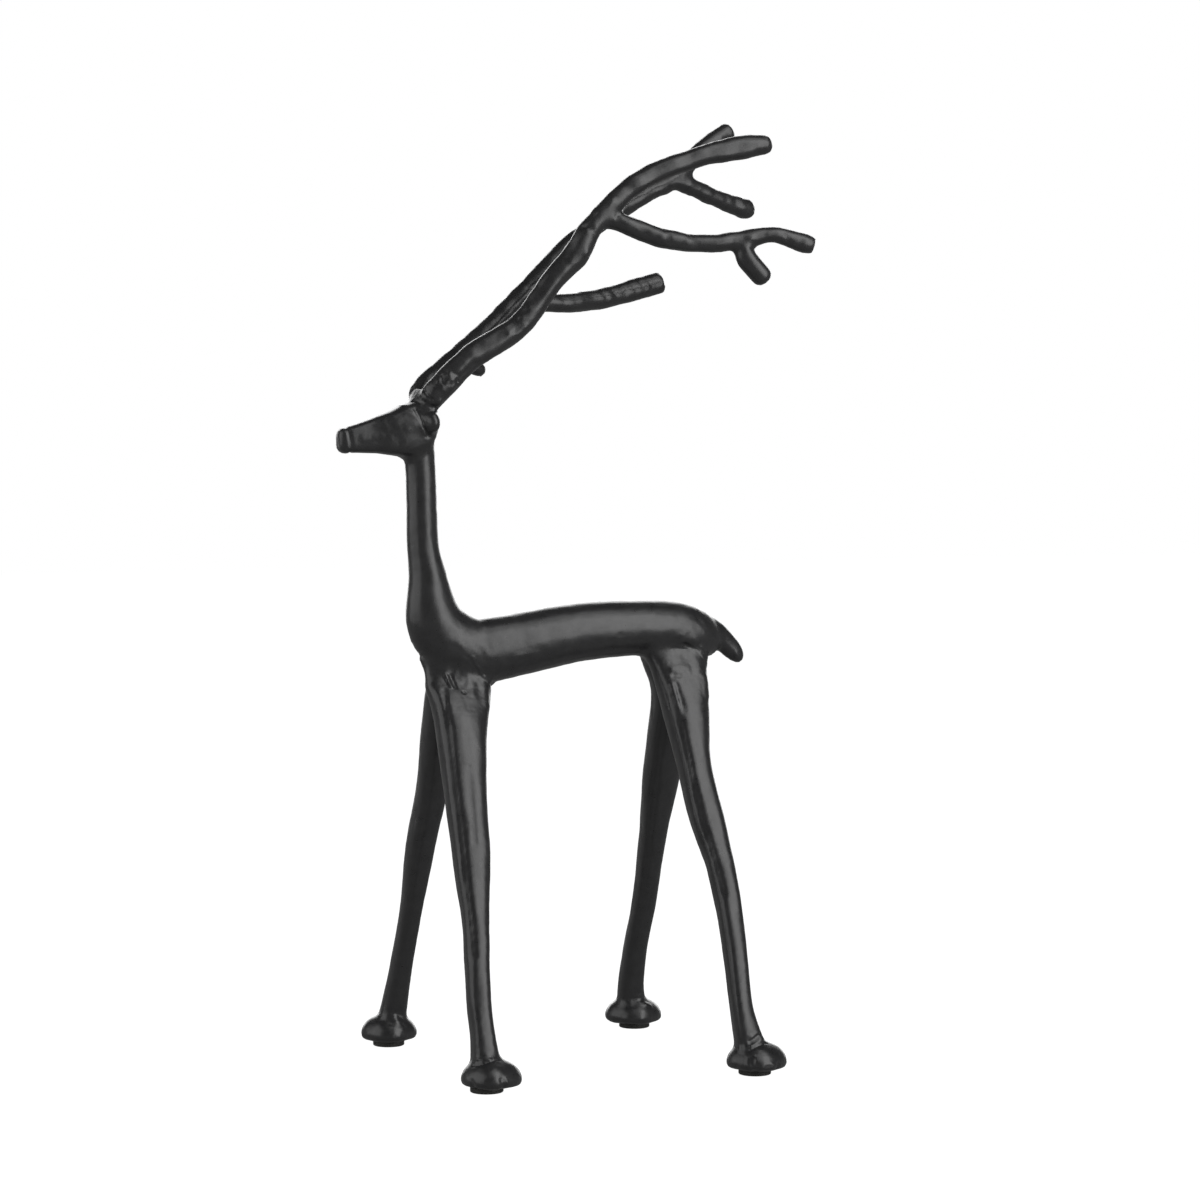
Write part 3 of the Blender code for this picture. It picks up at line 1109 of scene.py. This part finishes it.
@dataclass
class FootPad:
    """A stick-on rubber pad: a low disc with a rounded lower rim and a soft upper edge."""

    name: str
    rim: float = 0.0006
    upper_edge: float = 0.00025
    sides: int = 72
    arc: int = 5

    def build(self) -> bpy.types.Object:
        """Turn the pad in the place of its solid.

        Returns:
            The finished pad.
        """
        low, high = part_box(self.name)
        middle = (low + high) / 2
        radius = (high.x - low.x) / 2
        rises = [math.pi / 2 * step / self.arc for step in range(self.arc + 1)]
        profile = [(radius - self.rim * (1 - math.sin(rise)),
                    low.z + self.rim * (1 - math.cos(rise))) for rise in rises]
        profile += [(radius - self.upper_edge * (1 - math.cos(rise)),
                     high.z - self.upper_edge * (1 - math.sin(rise))) for rise in rises]
        turns = [2 * math.pi * side / self.sides for side in range(self.sides)]
        shape = bmesh.new()
        loops = []
        for reach, height in profile:
            loops.append([shape.verts.new((middle.x + reach * math.cos(turn),
                                           middle.y + reach * math.sin(turn), height)) for turn in turns])
        for lower, upper in zip(loops, loops[1:]):
            for side in range(self.sides):
                after = (side + 1) % self.sides
                shape.faces.new((lower[side], lower[after], upper[after], upper[side])).smooth = True
        shape.faces.new(list(reversed(loops[0])))
        shape.faces.new(loops[-1])
        mesh = bpy.data.meshes.new(f"rubber_{self.name}")
        shape.to_mesh(mesh)
        shape.free()
        return placed(f"rubber_{self.name}", mesh)


class Recipe:
    """A material under construction, with short ways to add and join its nodes."""

    noise_low: float = 0.3
    noise_high: float = 0.7

    def __init__(self, name: str) -> None:
        """Start a material with a bare Principled shader.

        Args:
            name: The material's name.
        """
        self.material = bpy.data.materials.new(name)
        self.material.use_nodes = True
        self.tree = self.material.node_tree
        self.shader = self.tree.nodes["Principled BSDF"]
        self.place = self.tree.nodes.new("ShaderNodeTexCoord").outputs["Object"]

    def speckle(self, size: float, detail: float = 2.0, rough: float = 0.5) -> bpy.types.NodeSocket:
        """Noise over the surface.

        Args:
            size: The size of its speckles, in metres.
            detail: How many finer layers it has.
            rough: How strong the finer layers are.

        Returns:
            The noise's value, about 0.5.
        """
        node = self.tree.nodes.new("ShaderNodeTexNoise")
        self.tree.links.new(self.place, node.inputs["Vector"])
        node.inputs["Scale"].default_value = 1 / size
        node.inputs["Detail"].default_value = detail
        node.inputs["Roughness"].default_value = rough
        return node.outputs["Fac"]

    def ranged(self, value: bpy.types.NodeSocket, low: float, high: float,
               start: float = noise_low, stop: float = noise_high) -> bpy.types.NodeSocket:
        """A value from start to stop, moved to low to high.

        Args:
            value: The value to move.
            low: What start becomes.
            high: What stop becomes.
            start: The lower end of the value.
            stop: The upper end of the value.

        Returns:
            The moved value.
        """
        node = self.tree.nodes.new("ShaderNodeMapRange")
        self.tree.links.new(value, node.inputs["Value"])
        for socket, number in zip(("From Min", "From Max", "To Min", "To Max"), (start, stop, low, high)):
            node.inputs[socket].default_value = number
        return node.outputs["Result"]

    def total(self, *values: tuple[bpy.types.NodeSocket, float]) -> bpy.types.NodeSocket:
        """The sum of values.

        Args:
            values: The values, each with its weight.

        Returns:
            The sum of the values, each times its weight.
        """
        summed = None
        for value, weight in values:
            node = self.tree.nodes.new("ShaderNodeMath")
            node.operation = "MULTIPLY_ADD"
            self.tree.links.new(value, node.inputs[0])
            node.inputs[1].default_value = weight
            if summed is None:
                node.inputs[2].default_value = 0.0
            else:
                self.tree.links.new(summed, node.inputs[2])
            summed = node.outputs[0]
        return summed

    def tint(self, value: bpy.types.NodeSocket, dark: tuple[float, float, float],
             light: tuple[float, float, float]) -> bpy.types.NodeSocket:
        """A colour between two, over the range that a noise mostly keeps to.

        Args:
            value: The noise that picks the colour.
            dark: The colour at the low end of the range.
            light: The colour at the high end.

        Returns:
            The colour.
        """
        node = self.tree.nodes.new("ShaderNodeValToRGB")
        ends = ((self.noise_low, dark), (self.noise_high, light))
        for element, (position, colour) in zip(node.color_ramp.elements, ends):
            element.position = position
            element.color = (*colour, 1.0)
        self.tree.links.new(value, node.inputs["Fac"])
        return node.outputs["Color"]

    def bump(self, height: bpy.types.NodeSocket, distance: float, strength: float) -> None:
        """Raise the surface a little, for the shader alone.

        Args:
            height: The height, from 0 to 1.
            distance: What a height of 1 stands for, in metres.
            strength: How much of it is used.
        """
        node = self.tree.nodes.new("ShaderNodeBump")
        node.inputs["Distance"].default_value = distance
        node.inputs["Strength"].default_value = strength
        self.tree.links.new(height, node.inputs["Height"])
        self.tree.links.new(node.outputs["Normal"], self.shader.inputs["Normal"])


@dataclass(frozen=True)
class SatinBlackPaint:
    """Satin black paint over a cast skin: orange peel, sand grain and duller hollows."""

    dark: tuple[float, float, float] = (0.0135, 0.0135, 0.0140)
    light: tuple[float, float, float] = (0.0230, 0.0230, 0.0236)
    sheen_low: float = 0.26
    sheen_high: float = 0.36
    peel_size: float = 0.0019
    grain_size: float = 0.0005
    ripple_size: float = 0.006
    relief: float = 0.0003
    relief_strength: float = 0.35

    def material(self) -> bpy.types.Material:
        """Mix the paint.

        Returns:
            The paint as a material.
        """
        recipe = Recipe("satin_black_paint")
        ripple = recipe.speckle(self.ripple_size, 3.0, 0.55)
        peel = recipe.speckle(self.peel_size, 2.0)
        grain = recipe.speckle(self.grain_size, 3.0, 0.6)
        colour = recipe.tint(recipe.total((ripple, 0.6), (grain, 0.4)), self.dark, self.light)
        recipe.tree.links.new(colour, recipe.shader.inputs["Base Color"])
        sheen = recipe.ranged(recipe.total((ripple, 0.5), (peel, 0.5)), self.sheen_low, self.sheen_high)
        recipe.tree.links.new(sheen, recipe.shader.inputs["Roughness"])
        height = recipe.total((ripple, 0.6), (peel, 0.3), (grain, 0.12))
        recipe.bump(height, self.relief, self.relief_strength)
        recipe.shader.inputs["Metallic"].default_value = 0.0
        recipe.shader.inputs["IOR"].default_value = 1.5
        return recipe.material


@dataclass(frozen=True)
class BlackRubber:
    """Matt black moulded rubber with a fine pebble."""

    dark: tuple[float, float, float] = (0.018, 0.018, 0.016)
    light: tuple[float, float, float] = (0.030, 0.030, 0.026)
    pebble_size: float = 0.0006
    cloud_size: float = 0.004
    sheen_low: float = 0.62
    sheen_high: float = 0.78
    relief: float = 0.0002
    relief_strength: float = 0.35

    def material(self) -> bpy.types.Material:
        """Mix the rubber.

        Returns:
            The rubber as a material.
        """
        recipe = Recipe("black_rubber_pad")
        pebble = recipe.speckle(self.pebble_size, 3.0)
        cloud = recipe.speckle(self.cloud_size, 2.0)
        recipe.tree.links.new(recipe.tint(cloud, self.dark, self.light), recipe.shader.inputs["Base Color"])
        sheen = recipe.ranged(pebble, self.sheen_low, self.sheen_high)
        recipe.tree.links.new(sheen, recipe.shader.inputs["Roughness"])
        recipe.bump(pebble, self.relief, self.relief_strength)
        return recipe.material


@dataclass(frozen=True)
class PaleFloor:
    """A white sweep that glows a little, so that only faint shadows show on it."""

    glow: float = 0.965
    mirrored_glow: float = 0.12
    cover: tuple[float, float, float] = (0.22, 0.22, 0.22)

    def material(self) -> bpy.types.Material:
        """Mix the floor's white.

        Returns:
            The floor as a material.
        """
        recipe = Recipe("pale_floor")
        path = recipe.tree.nodes.new("ShaderNodeLightPath")
        glow = recipe.ranged(path.outputs["Is Camera Ray"], self.mirrored_glow, self.glow, 0.0, 1.0)
        recipe.tree.links.new(glow, recipe.shader.inputs["Emission Strength"])
        recipe.shader.inputs["Emission Color"].default_value = (1.0, 1.0, 1.0, 1.0)
        recipe.shader.inputs["Base Color"].default_value = (*self.cover, 1.0)
        recipe.shader.inputs["Roughness"].default_value = 1.0
        recipe.shader.inputs["Specular IOR Level"].default_value = 0.0
        return recipe.material


@dataclass(frozen=True)
class Softbox:
    """A soft light that faces the stag: its place round it, its size in metres and its power in watts.

    It turns by degrees to the viewer's right of the line from the stag to the camera, and stands
    tilt degrees above the point that it lights.
    """

    name: str
    turn: float
    tilt: float
    width: float
    tall: float
    power: float
    distance: float = 1.7
    height: float = 0.25


@dataclass
class Studio:
    """A pale floor and sky, soft lights beside the viewer, and the camera."""

    feet: Vector
    camera_offset: tuple[float, float, float] = (-0.6503, -1.6174, 0.3341)
    lens: float = 99.0
    sensor: float = 36.0
    horizon_rise: float = 170.0
    floor_reach: float = 6.0
    sky_seen: float = 1.0
    room_low: float = 0.22
    room_high: float = 0.04
    room_fades_at: float = 0.45
    backdrop: float = 3.2
    backdrop_reach: float = 31.0
    backdrop_fade: float = 8.0
    softboxes: tuple[Softbox, ...] = (
        Softbox("right_softbox", 48, 34, 1.5, 3.2, 25),
        Softbox("right_softbox_heart", 52, 24, 0.8, 2.0, 10.5, 1.65),
        Softbox("left_softbox", -70, 14, 2.2, 2.0, 19),
    )

    def build_camera(self) -> None:
        """Stand the camera where the photograph was taken from."""
        camera = placed("camera", bpy.data.cameras.new("camera"))
        camera.data.lens = self.lens
        camera.data.sensor_width = self.sensor
        camera.data.clip_end = 50.0
        camera.location = self.feet + Vector(self.camera_offset)
        pitch = math.atan(self.horizon_rise / (self.lens / self.sensor * PHOTO_WIDTH))
        camera.rotation_euler = (math.pi / 2 - pitch, 0.0, VIEW_AZIMUTH)
        bpy.context.scene.camera = camera

    def build_floor(self) -> None:
        """Lay a plain pale floor."""
        mesh = bpy.data.meshes.new("floor")
        reach = self.floor_reach
        corners = [(-reach, -reach, 0), (reach, -reach, 0), (reach, reach, 0), (-reach, reach, 0)]
        mesh.from_pydata(corners, [], [(0, 1, 2, 3)])
        floor = placed("floor", mesh)
        floor.data.materials.append(PaleFloor().material())

    def build_light(self, box: Softbox) -> None:
        """Stand one soft light, facing the stag.

        Args:
            box: The light to stand.
        """
        lamp = bpy.data.lights.new(box.name, "AREA")
        lamp.shape = "RECTANGLE"
        lamp.size = box.width
        lamp.size_y = box.tall
        lamp.energy = box.power
        light = placed(box.name, lamp)
        angle = VIEW_AZIMUTH + math.radians(box.turn)
        rise = math.radians(box.tilt)
        away = Vector((math.sin(angle) * math.cos(rise), -math.cos(angle) * math.cos(rise), math.sin(rise)))
        light.location = Vector((0, 0, box.height)) + away * box.distance
        light.rotation_euler = away.to_track_quat("Z", "Y").to_euler()

    def build_sky(self) -> None:
        """A plain white sky to the eye, and in reflections a dim room with a bright backdrop."""
        world = bpy.data.worlds.new("studio")
        world.use_nodes = True
        tree = world.node_tree
        background = tree.nodes["Background"]
        background.inputs["Color"].default_value = (1.0, 1.0, 1.0, 1.0)
        place = tree.nodes.new("ShaderNodeTexCoord")
        split = tree.nodes.new("ShaderNodeSeparateXYZ")
        tree.links.new(place.outputs["Generated"], split.inputs["Vector"])
        room = tree.nodes.new("ShaderNodeMapRange")
        tree.links.new(split.outputs["Z"], room.inputs["Value"])
        room.inputs["From Max"].default_value = self.room_fades_at
        room.inputs["To Min"].default_value = self.room_low
        room.inputs["To Max"].default_value = self.room_high
        facing = tree.nodes.new("ShaderNodeVectorMath")
        facing.operation = "DOT_PRODUCT"
        tree.links.new(place.outputs["Generated"], facing.inputs[0])
        facing.inputs[1].default_value = (-NEAR[0], -NEAR[1], 0.0)
        backdrop = tree.nodes.new("ShaderNodeMapRange")
        tree.links.new(facing.outputs["Value"], backdrop.inputs["Value"])
        edge = math.radians(self.backdrop_reach + self.backdrop_fade)
        backdrop.inputs["From Min"].default_value = math.cos(edge)
        backdrop.inputs["From Max"].default_value = math.cos(math.radians(self.backdrop_reach))
        backdrop.inputs["To Max"].default_value = self.backdrop
        both = tree.nodes.new("ShaderNodeMath")
        both.operation = "ADD"
        tree.links.new(room.outputs["Result"], both.inputs[0])
        tree.links.new(backdrop.outputs["Result"], both.inputs[1])
        path = tree.nodes.new("ShaderNodeLightPath")
        pick = tree.nodes.new("ShaderNodeMapRange")
        tree.links.new(path.outputs["Is Camera Ray"], pick.inputs["Value"])
        tree.links.new(both.outputs[0], pick.inputs["To Min"])
        pick.inputs["To Max"].default_value = self.sky_seen
        tree.links.new(pick.outputs["Result"], background.inputs["Strength"])
        bpy.context.scene.world = world

    def build(self) -> None:
        """Set the whole studio."""
        self.build_camera()
        self.build_floor()
        self.build_sky()
        for box in self.softboxes:
            self.build_light(box)
        bpy.context.scene.view_settings.view_transform = "Standard"


def stag_origin(hooves: dict[str, Hoof]) -> np.ndarray:
    """Where the stag's own origin lies, from the places of its pads and the height of its soles.

    Args:
        hooves: The hooves by the name of their foot.

    Returns:
        The origin in metres.
    """
    offsets = []
    for name, hoof in hooves.items():
        low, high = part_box(f"foot_pad_{name}")
        middle = (np.array(low) + np.array(high)) / 2
        offsets.append(middle - np.array([hoof.x, hoof.y, 0]) * UNIT)
    origin = np.mean(offsets, axis=0)
    origin[2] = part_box("stag")[0].z
    return origin


def feet_middle(hooves: dict[str, Hoof]) -> Vector:
    """The middle of the four pads, on the floor.

    Args:
        hooves: The hooves by the name of their foot.

    Returns:
        The middle, in metres.
    """
    middles = [sum(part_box(f"foot_pad_{name}"), Vector()) / 2 for name in hooves]
    middle = sum(middles, Vector()) / len(middles)
    return Vector((middle.x, middle.y, 0.0))


def main() -> None:
    """Build the stag, dress it, and set it in the studio."""
    logging.basicConfig(level=logging.INFO, format="%(message)s")
    hooves = four_hooves()
    casting = Casting(Trunk(), Head(), four_legs(), hooves, [left_antler(), right_antler()],
                      stag_origin(hooves))
    stag = casting.build()
    stag.data.materials.append(SatinBlackPaint().material())
    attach(stag, "root")
    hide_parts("stag")
    triangles = sum(len(face.vertices) - 2 for face in stag.data.polygons)
    log.info("stag casting: %d triangles", triangles)
    rubber = BlackRubber().material()
    for name in hooves:
        pad = FootPad(f"foot_pad_{name}").build()
        pad.data.materials.append(rubber)
        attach(pad, "root")
        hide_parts(f"foot_pad_{name}")
        log.info("%s", pad.name)
    Studio(feet_middle(hooves)).build()
    log.info("studio")


if __name__ == "__main__":
    main()
